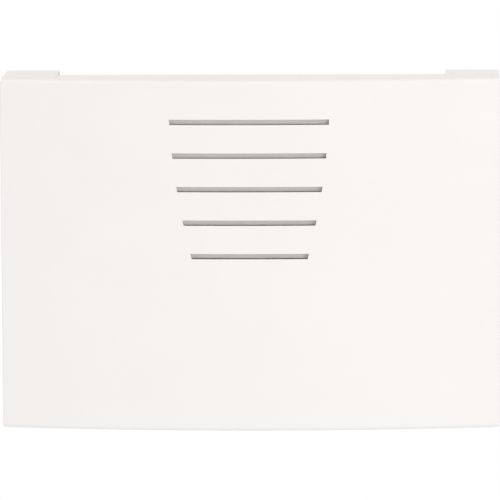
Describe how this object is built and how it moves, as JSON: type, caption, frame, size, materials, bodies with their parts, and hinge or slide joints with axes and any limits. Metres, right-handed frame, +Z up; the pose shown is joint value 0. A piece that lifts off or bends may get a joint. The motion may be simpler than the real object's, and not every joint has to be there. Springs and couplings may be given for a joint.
{
  "type": "doorbell chime box",
  "caption": "Wired doorbell chime in a white wall box with a bowed, louvred cover that pulls off; sprung solenoid plungers inside strike steel tone plates.",
  "frame": {"origin": "on the wall plane, at the middle of the back of the base plate", "axes": "+X to the right across the width, +Y into the wall, so that the front faces -Y, and +Z up"},
  "size_m": [0.19, 0.0432, 0.134],
  "materials": {
    "cover_moulding": "fine moulded matt",
    "base_moulding": "moulded",
    "plate_steel": "zinc plated",
    "plated_steel": "zinc plated",
    "core_steel": "turned",
    "spring_steel": "drawn wire",
    "grommet_rubber": "moulded",
    "nylon": "natural",
    "bobbin_plastic": "moulded",
    "copper_wire": "enamelled copper",
    "terminal_brass": "bright",
    "phenolic_board": "pressed board",
    "felt": "felt",
    "red_insulation": "smooth",
    "blue_insulation": "smooth",
    "black_insulation": "smooth"
  },
  "bodies": {
    "base": {"base_plate": "base_moulding", "left_tone_plate": "plate_steel", "right_tone_plate": "plate_steel", "tone_plate_grommets": "grommet_rubber", "tone_plate_screws": "plated_steel", "solenoid_bracket": "plated_steel", "bracket_screws": "plated_steel", "plunger_guides": "nylon", "front_bobbin": "bobbin_plastic", "front_winding": "copper_wire", "rear_bobbin": "bobbin_plastic", "rear_winding": "copper_wire", "front_spring": "spring_steel", "rear_spring": "spring_steel", "felt_damper": "felt", "terminal_board": "phenolic_board", "terminal_board_screws": "plated_steel", "terminal_plates": "terminal_brass", "terminal_screws": "terminal_brass", "front_coil_lead": "red_insulation", "rear_coil_lead": "blue_insulation", "common_leads": "black_insulation"},
    "cover": {"cover": "cover_moulding"},
    "front_plunger": {"front_plunger_core": "core_steel", "front_return_head": "nylon", "front_strike_rod": "nylon"},
    "rear_plunger": {"rear_plunger_core": "core_steel", "rear_return_head": "nylon", "rear_strike_rod": "nylon"}
  },
  "joints": [
    {"name": "cover_pull_off", "type": "slide", "parent": "base", "child": "cover", "axis": [0, -1, 0], "range_m": [0, 0.08]},
    {"name": "front_door_strike", "type": "slide", "parent": "base", "child": "front_plunger", "axis": [1, 0, 0], "range_m": [-0.0029, 0.0079], "stiffness_N_per_m": 40, "deforming": ["front_spring"]},
    {"name": "back_door_strike", "type": "slide", "parent": "base", "child": "rear_plunger", "axis": [1, 0, 0], "range_m": [0, 0.0079], "stiffness_N_per_m": 40, "springref_m": -0.002, "deforming": ["rear_spring"]}
  ]
}
